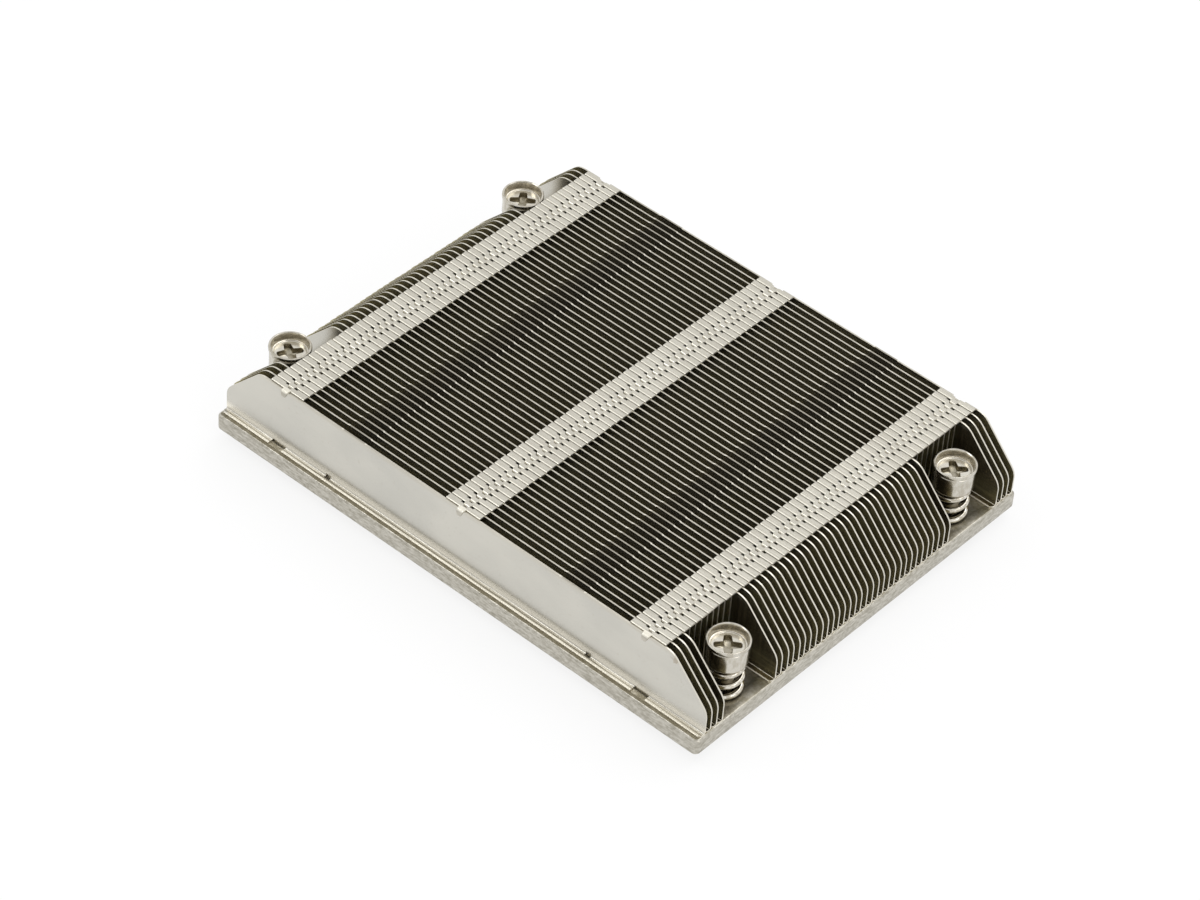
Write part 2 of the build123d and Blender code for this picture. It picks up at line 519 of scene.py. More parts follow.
def make_cut_edge():
    """Sheared fin edges, slightly rough, with painted highlights on the ends, rib sides, flanges and feet."""
    look = FinFinish("cut_edge")
    tone = look.noise(0.6, (3.0, 1.0, 1.0), detail=2.0).rise(0.3, 0.7)
    color = look.mix(tone, rgb(0.57, 0.54, 0.47), rgb(0.47, 0.445, 0.38))
    # Painted highlights on the edges of the fins' ends
    ends = look.x.size().rise(SHORT_RIGHT, SHORT_RIGHT + 0.5)
    color = look.mix(ends * 0.5, color, EDGE_HIGHLIGHT)
    color = look.mix(look.ribs() * 0.5, color, rgb(0.22, 0.20, 0.16))
    # Painted glints at the rib sides, and a painted highlight on the top flanges' front edges
    color = look.mix(look.rib_sides() * 0.6, color, rgb(0.85, 0.81, 0.71))
    color = look.mix(look.z.rise(RAW_TOP + 0.02, RAW_TOP + 0.06), color, rgb(0.74, 0.71, 0.62))
    # Painted highlight on the feet's edges and bend lines
    color = look.mix(look.z.rise(BASE_TOP + 1.0, BASE_TOP + 1.1), EDGE_HIGHLIGHT, color)
    return look.finish(color, 0.42)


def make_base_metal():
    """Matt nickel plated plate: cloudy and scuffed, darker on top with dried flux and painted shade, lapped
    below.
    """
    look = Finish("base_metal")
    cloud = look.noise(0.5, (1.7, 1.7, 1.0), detail=6.0, roughness=0.75)
    scuffs = look.noise(0.25, (6.0, 6.0, 0.8), detail=4.0, roughness=0.6)
    grain = look.noise(0.2, (2.0, 2.0, 1.0), detail=3.0)
    wear = (cloud * 0.5 + scuffs * 0.5).rise(0.38, 0.64)
    color = look.mix(wear, rgb(0.60, 0.575, 0.51), rgb(0.34, 0.318, 0.26))
    # The top is darker: partly dried flux, partly painted shade
    top = look.z.rise(BASE_TOP - 0.04, BASE_TOP - 0.01)
    color = look.mix(top * (0.35 + wear * 0.5), color, rgb(0.27, 0.245, 0.18))
    # Painted shade on the top just in front of the first fin's flange
    flange_foot_shade = top * (FIRST_BACK - FLANGE_REACH + 0.02 - look.y).rise(0.0, 0.05)
    color = look.mix(flange_foot_shade * 0.7, color, rgb(0.15, 0.13, 0.085))
    low_side = 1.0 - look.z.rise(0.3, 1.7)
    color = look.mix(low_side * wear * 0.5, color, rgb(0.30, 0.28, 0.23))
    under = 1.0 - look.z.rise(0.0, 0.05)
    lapped = look.mix(scuffs.rise(0.35, 0.65), rgb(0.64, 0.615, 0.56), rgb(0.54, 0.52, 0.465))
    color = look.mix(under, color, lapped)
    roughness = 0.27 + grain * 0.12 + wear * 0.08
    return look.finish(color, roughness, look.bump(cloud * 0.6 + scuffs * 0.3 + grain * 0.1, 0.03, 0.35))


def make_screw_steel():
    """Turned and nickel plated steel: pale in the cup, with painted shade on its wall, in the cross and on
    the neck.
    """
    look = Finish("screw_steel")
    rings = look.noise(0.12, (60.0, 60.0, 1.0), detail=1.0)
    cloud = look.noise(1.1, (1.0, 1.0, 1.6), detail=4.0)
    off_x = look.x.size() - SCREW_X
    off_y = look.y.size() - SCREW_Y
    radius = (off_x * off_x + off_y * off_y).root()
    depth = HEAD_TOP - look.z
    in_cup = (1.0 - radius.rise(3.16, 3.2)) * (1.0 - depth.rise(CUP_DEPTH, CUP_DEPTH + 0.1))
    wall = in_cup * radius.rise(2.85, 3.0) * depth.rise(0.15, 0.4)
    cross = (1.0 - radius.rise(2.3, 2.4)) * depth.rise(CUP_DEPTH + 0.03, CUP_DEPTH + 0.25)
    neck = look.z.rise(BASE_TOP - 0.6, BASE_TOP) * depth.rise(HEAD_HEIGHT, HEAD_HEIGHT + 0.1)
    color = look.mix(cloud.rise(0.38, 0.62), rgb(0.62, 0.59, 0.52), rgb(0.50, 0.465, 0.39))
    color = look.mix(in_cup * 0.4, color, rgb(0.80, 0.77, 0.69))
    # Painted shade on the cup's wall, in the cross and on the neck under the head
    color = look.mix(wall * (0.1 + cloud * 0.3), color, rgb(0.32, 0.27, 0.19))
    color = look.mix(cross * 0.6, color, rgb(0.25, 0.22, 0.15))
    color = look.mix(neck * 0.8, color, rgb(0.20, 0.175, 0.13))
    return look.finish(color, 0.14 + rings * 0.06 + cloud * 0.05, look.bump(rings, 0.004, 0.4))


def make_spring_steel():
    """Plated spring wire, bright with dull patches."""
    look = Finish("spring_steel")
    cloud = look.noise(0.7, (1.0, 1.0, 0.5), detail=4.0)
    color = look.mix(cloud.rise(0.35, 0.65), rgb(0.76, 0.73, 0.66), rgb(0.46, 0.42, 0.34))
    return look.finish(color, 0.12 + cloud * 0.08, look.bump(cloud, 0.01, 0.3))


def make_ring_steel():
    """Plain spring steel of the retaining rings."""
    look = Finish("ring_steel")
    cloud = look.noise(1.1, detail=3.0)
    color = look.mix(cloud, rgb(0.42, 0.41, 0.39), rgb(0.34, 0.33, 0.31))
    return look.finish(color, 0.3 + cloud * 0.1)


FIN_METAL = make_fin_metal()
CUT_EDGE = make_cut_edge()
BASE_METAL = make_base_metal()
SCREW_STEEL = make_screw_steel()
SPRING_STEEL = make_spring_steel()
RING_STEEL = make_ring_steel()


def new_object(name, data):
    piece = bpy.data.objects.new(name, data)
    bpy.context.scene.collection.objects.link(piece)
    return piece


def plain_mesh(shape, name):
    """A mesh with a bmesh's shape. The bmesh is used up."""
    mesh = bpy.data.meshes.new(name)
    shape.to_mesh(mesh)
    shape.free()
    return mesh


def settled_mesh(carrier, name):
    """The mesh that an object's modifiers make. The object is used up."""
    view = bpy.context.evaluated_depsgraph_get()
    mesh = bpy.data.meshes.new_from_object(carrier.evaluated_get(view))
    mesh.name = name
    bpy.data.objects.remove(carrier)
    return mesh


def shade(mesh, angle):
    mesh.shade_smooth()
    mesh.set_sharp_from_angle(angle=radians(angle))


def dress(piece, body, nodes):
    """Seats a finished piece in the frame in place of the CAD nodes that it stands for."""
    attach(piece, body)
    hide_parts(*nodes)
    return piece


def arc_corner(before, corner, after, radius, steps):
    """Points of the arc that rounds one corner of an outline."""
    into = (Vector(before) - Vector(corner)).normalized()
    out = (Vector(after) - Vector(corner)).normalized()
    half = into.angle(out) / 2
    reach = radius / tan(half)
    middle = Vector(corner) + (into + out).normalized() * (radius / sin(half))
    start = Vector(corner) + into * reach - middle
    end = Vector(corner) + out * reach - middle
    return [middle + start.slerp(end, step / steps).normalized() * radius for step in range(steps + 1)]


def end_outline():
    """The right end of a full fin, from the foot of its upright edge to the top, as (x, z)."""
    foot = (HALF_LENGTH, FOOT_BEND)
    knee = (HALF_LENGTH, BASE_TOP + END_UPRIGHT)
    brow = (HALF_LENGTH - END_SLOPE_RUN, RAW_TOP)
    inside = (0.0, RAW_TOP)
    lower = arc_corner(foot, knee, brow, END_CORNER_RADIUS, END_CORNER_STEPS)
    upper = arc_corner(knee, brow, inside, END_CORNER_RADIUS, END_CORNER_STEPS)
    return [Vector(foot)] + lower + upper


class Blank:
    """The middle surface of one fin, laid out in columns along X and folded from strips of cells."""

    def __init__(self, kind):
        self.mesh = bmesh.new()
        self.corners = {}
        self.first = kind == "first"
        self.short = kind == "short"
        self.left = SHORT_LEFT if self.short else -HALF_LENGTH
        self.right = SHORT_RIGHT if self.short else HALF_LENGTH
        self.columns = self.column_places()

    def column_places(self):
        outline_start = end_outline()[-1].x
        places = [self.left, self.right] if self.short else [-outline_start, outline_start]
        for strip in STRIP_PLACES:
            offsets = (-STRIP_HALF, SLOT_LEFT, -TAB_HALF, -HOLE_HALF_WIDE)
            offsets += (HOLE_HALF_WIDE, TAB_HALF, SLOT_RIGHT, STRIP_HALF)
            places += [strip + offset for offset in offsets]
        for rib in RIB_PLACES:
            for side in (-RIB_HALF, RIB_HALF):
                places += [rib + side - RIB_SHOULDER, rib + side + RIB_SHOULDER]
        if self.first:
            for cuts, half in ((NOTCH_PLACES, NOTCH_HALF), (RELIEF_PLACES, RELIEF_HALF)):
                for cut in cuts:
                    places += [cut - half, cut + half]
        return sorted({round(place, 4) for place in places})

    def in_notch(self, x):
        """True where a notch of the first fin's bottom flange crosses this X."""
        return self.first and any(abs(x - place) < NOTCH_HALF for place in NOTCH_PLACES)

    def in_relief(self, x):
        """True where a relief slot of the first fin's bottom fold crosses this X."""
        return self.first and any(abs(x - place) < RELIEF_HALF for place in RELIEF_PLACES)

    def corner(self, x, y, z):
        key = (round(x, 4), round(y, 4), round(z, 4))
        if key not in self.corners:
            self.corners[key] = self.mesh.verts.new((x, y, z))
        return self.corners[key]

    def cell(self, points, material=0):
        """One face, unless its points fall together."""
        corners = []
        for point in points:
            corner = self.corner(*point)
            if corner not in corners:
                corners.append(corner)
        if len(corners) > 2:
            self.mesh.faces.new(corners).material_index = material

    def patch(self, row, xs, next_row, next_xs, material=0):
        """A face between two rows, each given as (y, z), from a left to a right x on each."""
        self.cell([
            (xs[0], *row),
            (xs[1], *row),
            (next_xs[1], *next_row),
            (next_xs[0], *next_row),
        ], material)

    def strip_offset(self, x):
        """How far x lies from the nearest strip's middle, or None outside the strips."""
        for strip in STRIP_PLACES:
            if abs(x - strip) < STRIP_HALF:
                return x - strip
        return None

    def rib_offset(self, x, z):
        """How far a rib presses the sheet out at this place."""
        on_rib = any(abs(x - rib) < RIB_HALF - RIB_SHOULDER + NEAR for rib in RIB_PLACES)
        if self.first or not on_rib:
            return 0.0
        return RIB_DEPTH * min(max((z - RIB_FOOT) / (RIB_FULL - RIB_FOOT), 0.0), 1.0)

    def pulled(self, x, inset):
        """X drawn in by the inset at the fin's two ends."""
        if x == self.left:
            return x + inset
        if x == self.right:
            return x - inset
        return x

    def bottom_fold(self):
        """The bottom flange and its bend."""
        rows = [(y, FOOT_FLAT + z, inset) for y, z, inset in FOOT_ROWS]
        rows += [
            (-FOLD_CENTRE + FOLD_RADIUS * sin(turn), FOOT_FLAT + FOLD_RADIUS * (1 - cos(turn)), 0.0)
            for turn in FOLD_TURNS
        ]
        columns = self.columns if self.short else [self.left] + self.columns + [self.right]
        for (y0, z0, inset0), (y1, z1, inset1) in zip(rows, rows[1:]):
            starts_bend = z0 < FOOT_FLAT + NEAR < z1
            # Flange end row and, past the first fin, the bend's first row: cut edge material as painted
            # highlight
            bright = z0 < FOOT_FLAT or (starts_bend and not self.first)
            for x0, x1 in zip(columns, columns[1:]):
                middle = (x0 + x1) / 2
                if self.in_notch(middle) or (y1 > -RELIEF_REACH and self.in_relief(middle)):
                    continue
                xs = (self.pulled(x0, inset0), self.pulled(x1, inset0))
                next_xs = (self.pulled(x0, inset1), self.pulled(x1, inset1))
                self.patch((y0, z0), xs, (y1, z1), next_xs, int(bright))

    def wall(self):
        """The upright sheet, with its ribs, fold slots and rounded ends."""
        flat = -SHEET / 2
        slot = TOP_BEND - SLOT_DROP
        levels = [FOOT_BEND, FOOT_BEND + RELIEF_RISE, RIB_FOOT, RIB_FULL, slot, TOP_BEND, RAW_TOP]
        for x0, x1 in zip(self.columns, self.columns[1:]):
            offset = self.strip_offset((x0 + x1) / 2)
            folded = offset is not None and not self.first
            slotted = folded and SLOT_LEFT < offset < SLOT_RIGHT
            relieved = self.in_relief((x0 + x1) / 2)
            for z0, z1 in zip(levels, levels[1:]):
                if (folded and z0 >= TOP_BEND) or (slotted and z0 >= slot) or (relieved and z0 == FOOT_BEND):
                    continue
                self.cell([
                    (x, flat + self.rib_offset(x, z), z) for x, z in ((x0, z0), (x1, z0), (x1, z1), (x0, z1))
                ])
        if not self.short:
            self.wall_ends(flat, levels[:-1])

    def wall_ends(self, flat, levels):
        """The rounded ends, each one face that shares its inner corners with the wall."""
        outline = [tuple(point) for point in end_outline()]
        inner = [(outline[-1][0], z) for z in reversed(levels)]
        for side in (-1, 1):
            self.cell([(side * x, flat, z) for x, z in outline + inner])

    def top_fold(self, tab):
        """The bends, flanges and tabs of the three strips."""
        rows = [
            (-FOLD_CENTRE + FOLD_RADIUS * cos(turn), TOP_BEND + FOLD_RADIUS * sin(turn))
            for turn in FOLD_TURNS
        ]
        rows += [(-SLOT_REACH, TOP_FLAT), (-HOLE_END, TOP_FLAT)]
        rows += [(-FLANGE_REACH + BURR_REACH, TOP_FLAT), (-FLANGE_REACH, TOP_FLAT - BURR_DROP)]
        for strip in STRIP_PLACES:
            columns = [x for x in self.columns if abs(x - strip) < STRIP_HALF + NEAR]
            for (y0, z0), (y1, z1) in zip(rows, rows[1:]):
                for x0, x1 in zip(columns, columns[1:]):
                    if self.is_open((x0 + x1) / 2 - strip, y1):
                        continue
                    xs = (self.narrowed(x0, strip, y0), self.narrowed(x1, strip, y0))
                    next_xs = (self.narrowed(x0, strip, y1), self.narrowed(x1, strip, y1))
                    self.patch((y0, z0), xs, (y1, z1), next_xs, int(y1 == -FLANGE_REACH))
            self.tab_cells(strip, tab)

    def is_open(self, offset, y):
        """True where the row that ends at y has a slot, a hole or a tab in the flange's place."""
        in_slot = y >= -SLOT_REACH and SLOT_LEFT < offset < SLOT_RIGHT
        in_hole = y == -HOLE_END and abs(offset) < HOLE_HALF_WIDE
        at_tab = y == -FLANGE_REACH and abs(offset) < TAB_HALF
        return in_slot or in_hole or at_tab

    def narrowed(self, x, strip, y):
        """The hole's sides close in towards its far end."""
        if y == -HOLE_END and abs(abs(x - strip) - HOLE_HALF_WIDE) < NEAR:
            return strip + (x - strip) * HOLE_HALF_NARROW / HOLE_HALF_WIDE
        return x

    def tab_cells(self, strip, tab):
        """A tab in three strips of cells, whose outer sides meet the flange's columns."""
        shares = (-1.0, -HOLE_HALF_WIDE / TAB_HALF, HOLE_HALF_WIDE / TAB_HALF, 1.0)
        rows = [(-FLANGE_REACH + BURR_REACH, TOP_FLAT, TAB_HALF)]
        rows += [(-PITCH + y, TOP_FLAT + z, half) for y, z, half in tab]
        for (y0, z0, half0), (y1, z1, half1) in zip(rows, rows[1:]):
            for share0, share1 in zip(shares, shares[1:]):
                xs = (strip + half0 * share0, strip + half0 * share1)
                next_xs = (strip + half1 * share0, strip + half1 * share1)
                # Hooked tabs take the cut edge's material as a painted highlight
                self.patch((y0, z0), xs, (y1, z1), next_xs, int(tab is HOOK_TAB))


def make_fin_mesh(kind, tab=None):
    """One folded fin as a closed sheet, with its back at y = 0: first, full or short."""
    blank = Blank(kind)
    blank.bottom_fold()
    blank.wall()
    if tab:
        blank.top_fold(tab)
    sheet = blank.mesh
    bmesh.ops.recalc_face_normals(sheet, faces=sheet.faces)
    bmesh.ops.transform(sheet, matrix=Matrix.Scale(MM, 4), verts=sheet.verts)
    mesh = plain_mesh(sheet, "fin_blank")
    mesh.materials.append(FIN_METAL)
    mesh.materials.append(CUT_EDGE)
    carrier = new_object("fin_blank", mesh)
    thick = carrier.modifiers.new("thickness", "SOLIDIFY")
    thick.thickness = SHEET_SHOWN * MM
    thick.offset = 0.0
    thick.use_even_offset = True
    thick.use_rim = True
    thick.material_offset_rim = 1
    folded = settled_mesh(carrier, f"fin_{kind}")
    merged = bmesh.new()
    merged.from_mesh(folded)
    bmesh.ops.dissolve_limit(
        merged, angle_limit=SHEET_FLAT_WITHIN, verts=merged.verts, edges=merged.edges, delimit={"MATERIAL"}
    )
    bmesh.ops.recalc_face_normals(merged, faces=merged.faces)
    merged.to_mesh(folded)
    merged.free()
    return folded


def fin_row_former():
    """Repeats one fin along Y with a little unevenness, as a stack that is pressed together has."""
    graph = Former("fin_row", {
        "Fin": "Object", "Count": "Int", "Start": "Float", "Pitch": "Float", "Drift": "Float",
        "Lean": "Float", "Seed": "Int", "Sheet": "Material", "Edge": "Material",
    })

    def unevenness(label, seed):
        """A different value for each fin, between minus and plus one of the inputs."""
        most = graph.given(label)
        inputs = {"Min": most * -1.0, "Max": most, "Seed": seed}
        return graph.add("FunctionNodeRandomValue", inputs, {"data_type": "FLOAT"}, output=1)

    def with_index(operation):
        """True for the faces whose material index compares so with 0."""
        index = graph.add("GeometryNodeInputMaterialIndex")
        settings = {"data_type": "INT", "operation": operation}
        return graph.add("FunctionNodeCompare", {2: index, 3: 0}, settings)

    start = graph.add("ShaderNodeCombineXYZ", {"Y": graph.given("Start")})
    step = graph.add("ShaderNodeCombineXYZ", {"Y": graph.given("Pitch")})
    inputs = {"Count": graph.given("Count"), "Start Location": start, "Offset": step}
    points = graph.add("GeometryNodeMeshToPoints", {"Mesh": graph.add("GeometryNodeMeshLine", inputs)})
    drift = unevenness("Drift", graph.given("Seed"))
    lean = unevenness("Lean", graph.given("Seed") + 7)
    offset = graph.add("ShaderNodeCombineXYZ", {"X": drift * DRIFT_ALONG, "Y": drift * DRIFT_ACROSS})
    moved = graph.add("GeometryNodeSetPosition", {"Geometry": points, "Offset": offset})
    turn = graph.add("ShaderNodeCombineXYZ", {"Z": lean})
    fin = graph.add("GeometryNodeObjectInfo", {"Object": graph.given("Fin")}, output="Geometry")
    inputs = {"Points": moved, "Instance": fin, "Rotation": turn}
    rows = graph.add("GeometryNodeInstanceOnPoints", inputs)
    real = graph.add("GeometryNodeRealizeInstances", {"Geometry": rows})
    sheeted = graph.painted(real, "Sheet", with_index("EQUAL"))
    edged = graph.painted(sheeted, "Edge", with_index("GREATER_THAN"))
    graph.add("NodeGroupOutput", {"Geometry": edged})
    return graph


FIN_ROW = fin_row_former()


def make_fin_row(name, fin_mesh, first, count, seed, nodes):
    """A row of like fins as one piece. The first fin of the stack is counted as 0."""
    template = new_object(f"{name}_template", fin_mesh)
    mesh = FIN_ROW.form(name, {
        "Fin": template, "Count": count, "Start": (FIRST_BACK + first * PITCH) * MM, "Pitch": PITCH * MM,
        "Drift": FIN_DRIFT * MM, "Lean": FIN_LEAN, "Seed": seed, "Sheet": FIN_METAL, "Edge": CUT_EDGE,
    })
    bpy.data.objects.remove(template)
    shade(mesh, SHEET_SHADING)
    dress(new_object(name, mesh), "sink", nodes)


def fin_nodes(first, last):
    return [f"fin_{number:02d}" for number in range(first, last + 1)]


def make_fins():
    first = make_fin_mesh("first")
    hooked = make_fin_mesh("full", HOOK_TAB)
    full = make_fin_mesh("full", LOCK_TAB)
    short = make_fin_mesh("short", LOCK_TAB)
    rows = (
        ("front_fin", first, 0, 1, fin_nodes(1, 1)),
        ("hooked_fin", hooked, 1, 1, fin_nodes(2, 2)),
        ("front_fins", full, 2, 2, fin_nodes(3, 4)),
        ("front_pocket_row", short, 4, 8, ["front_pocket_fins"]),
        ("middle_fins", full, 12, 32, fin_nodes(13, 44)),
        ("rear_pocket_row", short, 44, 8, ["rear_pocket_fins"]),
        ("rear_fins", full, 52, 4, fin_nodes(53, 56)),
    )
    for seed, (name, mesh, start, count, nodes) in enumerate(rows):
        make_fin_row(name, mesh, start, count, seed, nodes)


def make_base():
    """The base plate, with its broken edges rounded over."""
    plate = bmesh.new()
    plate.from_mesh(frame["nodes"]["base_plate"].data)
    bmesh.ops.remove_doubles(plate, verts=plate.verts, dist=WELD_METRES)
    bmesh.ops.dissolve_limit(plate, angle_limit=BASE_FLAT_WITHIN, verts=plate.verts, edges=plate.edges)
    mesh = plain_mesh(plate, "plate")
    mesh.materials.append(BASE_METAL)
    carrier = new_object("plate", mesh)
    bevel = carrier.modifiers.new("edges", "BEVEL")
    bevel.width = EDGE_ROUNDING * MM
    bevel.segments = EDGE_STEPS
    bevel.limit_method = "ANGLE"
    bevel.angle_limit = EDGE_ANGLE
    rounded = settled_mesh(carrier, "base")
    shade(rounded, SHEET_SHADING)
    dress(new_object("base", rounded), "sink", ["base_plate"])


def turned_mesh(name, profile, centre, segments):
    """A mesh turned about the vertical through centre from (radius, z) points, the ends on the axis."""
    shape = bmesh.new()
    rings = []
    for radius, z in profile:
        turns = [2 * pi * step / segments for step in range(segments if radius else 1)]
        rings.append([
            shape.verts.new((centre.x + radius * MM * cos(turn), centre.y + radius * MM * sin(turn), z * MM))
            for turn in turns
        ])
    for inner, outer in zip(rings, rings[1:]):
        for step in range(segments):
            following = (step + 1) % segments
            corners = [inner[step % len(inner)], inner[following % len(inner)],
                       outer[following % len(outer)], outer[step % len(outer)]]
            unique = list(dict.fromkeys(corners))
            if len(unique) > 2:
                shape.faces.new(unique)
    bmesh.ops.recalc_face_normals(shape, faces=shape.faces)
    return plain_mesh(shape, name)


def screw_profile(tip):
    """Half section of a captive screw from its tip to the bottom of its cup, as (radius, z)."""
    top = HEAD_TOP
    head = top - HEAD_HEIGHT
    floor_z = top - CUP_DEPTH
    thread_low = tip + TIP_RISE
    groove_top = THREAD_TOP + GROOVE_HEIGHT
    steps = round((THREAD_TOP - thread_low) / (THREAD_PITCH / THREAD_STEPS))
    step_rise = (THREAD_TOP - thread_low) / steps
    thread = [(0.0, tip), (TIP_RADIUS, tip)]
    thread += [(THREAD_RADIUS, thread_low + step_rise * step) for step in range(steps + 1)]
    groove = [(GROOVE_RADIUS, THREAD_TOP), (GROOVE_RADIUS, groove_top)]
    neck = [(NECK_RADIUS, groove_top), (NECK_RADIUS, head)]
    body = [(3.05, head), (3.25, head + 0.06), (3.4, head + 0.25), (3.45, head + 0.5), (3.45, top - 0.95)]
    lip = [(3.4, top - 0.88), (3.4, top - 0.8), (3.52, top - 0.72), (3.6, top - 0.58), (3.6, top - 0.28)]
    rim = [(3.56, top - 0.1), (3.45, top - 0.01), (3.34, top), (3.22, top - 0.08), (3.13, top - 0.28)]
    cup = [(3.1, floor_z + 0.2), (3.02, floor_z + 0.05), (2.92, floor_z)]
    floor = [(2.75, floor_z), (2.7, floor_z - 0.06), (2.62, floor_z - 0.06), (2.57, floor_z), (0.0, floor_z)]
    return thread + groove + neck + body + lip + rim + cup + floor


def cut_thread(mesh, centre):
    """Presses a helical groove into the screw's shank below its ring."""
    for vertex in mesh.vertices:
        across = Vector((vertex.co.x - centre.x, vertex.co.y - centre.y, 0.0))
        height = vertex.co.z / MM
        if across.length < (THREAD_RADIUS - 0.1) * MM or height > THREAD_TOP - 0.01:
            continue
        turn = across.to_2d().angle_signed(Vector((1.0, 0.0))) / (2 * pi)
        share = (height / THREAD_PITCH - turn) % 1.0
        deep = THREAD_DEPTH * (1.0 - abs(2.0 * share - 1.0)) * MM
        vertex.co -= across.normalized() * deep


def arm_outline(reach, half):
    """One arm of the driver's cross along X, from the inner corner before it, as (x, y)."""
    inner = half * CROSS_INNER
    shoulder = reach - CROSS_CORNER
    return ((inner, -inner), (shoulder, -half), (reach, -half / 2), (reach, half / 2), (shoulder, half))


def cross_cutter(centre, floor_z, degrees):
    """The driver's cross: four arms with steep sides that end in a shallow pit."""
    shape = bmesh.new()
    rings = []
    for rise, reach, half in CROSS_LEVELS:
        height = (floor_z + rise) * MM
        ring = []
        for quarter in range(4):
            turn = Matrix.Rotation(radians(degrees) + quarter * pi / 2, 2)
            for corner in arm_outline(reach, half):
                x, y = turn @ Vector(corner)
                ring.append(shape.verts.new((centre.x + x * MM, centre.y + y * MM, height)))
        rings.append(ring)
    for upper, lower in zip(rings, rings[1:]):
        for step in range(len(upper)):
            following = (step + 1) % len(upper)
            shape.faces.new([upper[step], upper[following], lower[following], lower[step]])
    shape.faces.new(rings[0])
    shape.faces.new(rings[-1])
    bmesh.ops.recalc_face_normals(shape, faces=shape.faces)
    return new_object("cross_cutter", plain_mesh(shape, "cross_cutter"))


def make_screw(number):
    node = f"captive_screw_{number}"
    low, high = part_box(node)
    centre = (low + high) / 2
    mesh = turned_mesh("screw_blank", screw_profile(low.z / MM), centre, TURN_SEGMENTS)
    mesh.materials.append(SCREW_STEEL)
    cut_thread(mesh, centre)
    carrier = new_object("screw_blank", mesh)
    cutter = cross_cutter(centre, HEAD_TOP - CUP_DEPTH, CROSS_TURNS[number - 1])
    cut = carrier.modifiers.new("cross", "BOOLEAN")
    cut.operation = "DIFFERENCE"
    cut.solver = "EXACT"
    cut.object = cutter
    finished = settled_mesh(carrier, f"screw_{number}")
    bpy.data.objects.remove(cutter)
    shade(finished, HEAD_SHADING)
    dress(new_object(f"screw_{number}", finished), f"screw_{number}", [node])


def spring_former():
    """A round wire wound into a coil whose ends lie flat."""
    graph = Former("spring_coil", {
        "Wire": "Float", "Mean Diameter": "Float", "Pitch": "Float", "First Turn": "Float",
        "Last Turn": "Float", "Low": "Float", "High": "Float", "Facing": "Float", "Centre": "Vector",
        "Steel": "Material",
    })
    first, last, low = graph.given("First Turn"), graph.given("Last Turn"), graph.given("Low")
    line = graph.add("GeometryNodeMeshLine", {"Count": COIL_POINTS})
    turn = first + (last - first) * graph.add("GeometryNodeInputIndex") / (COIL_POINTS - 1)
    angle = (turn + graph.given("Facing")) * (2 * pi)
    radius = graph.given("Mean Diameter") / 2
    climb = (low + turn * graph.given("Pitch")).largest(low).smallest(graph.given("High"))
    inputs = {"X": radius * angle.cosine(), "Y": radius * angle.sine(), "Z": climb}
    place = graph.add("ShaderNodeCombineXYZ", inputs)
    inputs = {0: place, 1: graph.given("Centre")}
    centred = graph.add("ShaderNodeVectorMath", inputs, {"operation": "ADD"})
    wound = graph.add("GeometryNodeSetPosition", {"Geometry": line, "Position": centred})
    path = graph.add("GeometryNodeMeshToCurve", {"Mesh": wound})
    inputs = {"Resolution": WIRE_SIDES, "Radius": graph.given("Wire") / 2}
    wire = graph.add("GeometryNodeCurvePrimitiveCircle", inputs)
    coil = graph.add("GeometryNodeCurveToMesh", {"Curve": path, "Profile Curve": wire, "Fill Caps": True})
    smooth = graph.add("GeometryNodeSetShadeSmooth", {"Geometry": coil})
    real = graph.add("GeometryNodeRealizeInstances", {"Geometry": smooth})
    graph.add("NodeGroupOutput", {"Geometry": graph.painted(real, "Steel")})
    return graph


SPRING_COIL = spring_former()


def make_spring(number):
    """A coil round its screw's axis, from the base up to the spring's top."""
    screw_low, screw_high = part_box(f"captive_screw_{number}")
    low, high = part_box(f"spring_{number}")
    centre = (screw_low + screw_high) / 2
    mesh = SPRING_COIL.form(f"coil_{number}", {
        "Wire": WIRE * MM, "Mean Diameter": SPRING_MEAN * MM, "Pitch": COIL_PITCH * MM,
        "First Turn": COIL_FIRST, "Last Turn": COIL_LAST, "Low": BASE_HIGH.z + WIRE / 2 * MM,
        "High": high.z - WIRE / 2 * MM, "Facing": COIL_FACING, "Centre": (centre.x, centre.y, 0.0),
        "Steel": SPRING_STEEL,
    })
    shade(mesh, WIRE_SHADING)
    piece = dress(new_object(f"coil_{number}", mesh), "sink", [f"spring_{number}"])
    travel = next(j for j in frame["joints"] if j["name"] == f"screw_travel_{number}")
    height = high.z - BASE_HIGH.z
    keep = 1.0 - travel["range_m"][1] / height
    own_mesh(piece)


def dress_ring(number):
    """The retaining ring is shown as its CAD node."""
    ring = frame["nodes"][f"retaining_ring_{number}"]
    ring.data.materials.clear()
    ring.data.materials.append(RING_STEEL)


def make_floor():
    """A white floor that shows white to the camera and to the metal, and keeps a soft shadow."""
    floor_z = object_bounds()[0][2]
    sides = ((-1, -1), (1, -1), (1, 1), (-1, 1))
    mesh = bpy.data.meshes.new("floor")
    mesh.from_pydata([(x * FLOOR_HALF, y * FLOOR_HALF, floor_z) for x, y in sides], [], [(0, 1, 2, 3)])
    graph = Surface("floor_white")
    seen, mirrored, through = [
        graph.add("ShaderNodeLightPath", output=f"Is {ray} Ray")
        for ray in ("Camera", "Glossy", "Transmission")
    ]
    paint = graph.add("ShaderNodeBsdfDiffuse", {"Color": rgb(FLOOR_TONE, FLOOR_TONE, FLOOR_TONE)})
    glow = graph.add("ShaderNodeEmission", {"Color": rgb(1, 1, 1), "Strength": 1.0})
    share = (seen * FLOOR_SEEN + (mirrored + through) * FLOOR_MIRRORED).smallest(1.0)
    mixed = graph.add("ShaderNodeMixShader", {0: share, 1: paint, 2: glow})
    graph.add("ShaderNodeOutputMaterial", {"Surface": mixed})
    mesh.materials.append(graph.material)
    new_object("floor", mesh)


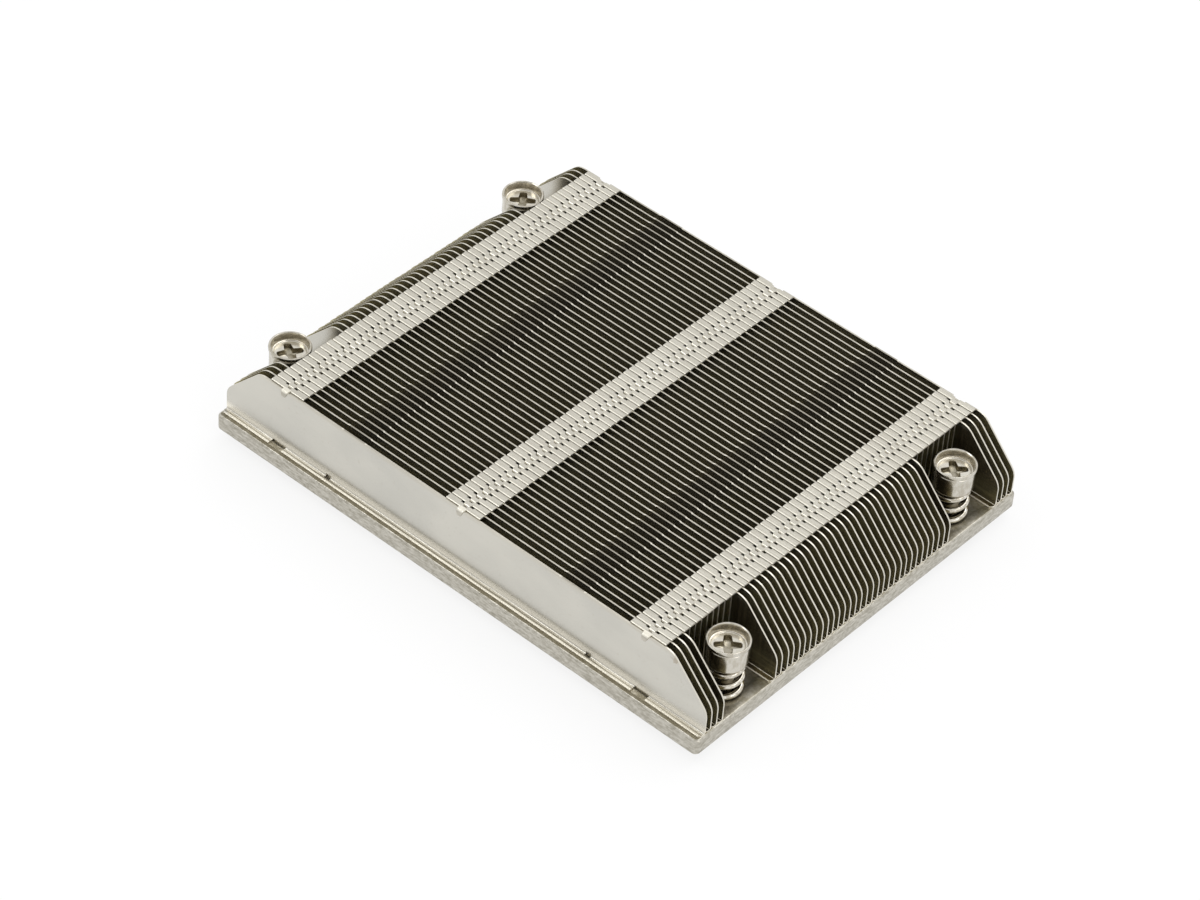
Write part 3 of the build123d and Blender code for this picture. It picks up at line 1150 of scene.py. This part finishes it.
def make_world():
    """A white room whose dim side only the metal shows."""
    world = bpy.data.worlds.new("white_room")
    bpy.context.scene.world = world
    world.use_nodes = True
    graph = Graph(world.node_tree)
    graph.tree.nodes.clear()
    mirrored = graph.add("ShaderNodeLightPath", output="Is Glossy Ray")
    inputs = {0: graph.add("ShaderNodeTexCoord", output="Generated"), 1: Vector(DIM_SIDE).normalized()}
    nearness = graph.add("ShaderNodeVectorMath", inputs, {"operation": "DOT_PRODUCT"}, output=1)
    strength = 1.0 - mirrored * nearness.rise(0.35, 0.95) * DIM_SHARE
    back = graph.add("ShaderNodeBackground", {"Color": rgb(1, 1, 1), "Strength": strength})
    graph.add("ShaderNodeOutputWorld", {"Surface": back})


def make_lamp(name, place, width, power):
    """A round lamp that points at the origin."""
    lamp = bpy.data.lights.new(name, "AREA")
    lamp.shape = "DISK"
    lamp.size = width
    lamp.energy = power
    piece = new_object(name, lamp)
    piece.location = place
    piece.rotation_euler = (-Vector(place)).to_track_quat("-Z", "Y").to_euler()


def make_camera():
    """The photograph's camera: its angles, distance and lens."""
    azimuth = radians(38.4876)
    elevation = radians(42.5423)
    roll = radians(4.8836)
    distance = 696.767
    slide_right = -2.4083
    slide_up = 2.7180
    focal_pixels = 4264.96
    frame_pixels = 1200
    sensor = 36.0
    back = Vector((sin(azimuth) * cos(elevation), -cos(azimuth) * cos(elevation), sin(elevation)))
    right = Vector((cos(azimuth), sin(azimuth), 0.0))
    up = back.cross(right)
    tilted_right = right * cos(roll) + up * sin(roll)
    tilted_up = up * cos(roll) - right * sin(roll)
    place = (back * distance + tilted_right * slide_right + tilted_up * slide_up) * MM
    camera = bpy.data.cameras.new("camera")
    camera.sensor_width = sensor
    camera.lens = focal_pixels / frame_pixels * sensor
    camera.clip_start = 0.01
    camera.clip_end = 20.0
    piece = new_object("camera", camera)
    turn = Matrix((tilted_right, tilted_up, back)).transposed().to_4x4()
    piece.matrix_world = Matrix.Translation(place) @ turn
    bpy.context.scene.camera = piece


make_camera()
make_fins()
make_base()
for number in SCREW_NUMBERS:
    make_screw(number)
    make_spring(number)
    dress_ring(number)
make_floor()
make_world()
for name, place, width, power in LAMPS:
    make_lamp(name, place, width, power)

bpy.context.scene.view_settings.view_transform = "Standard"
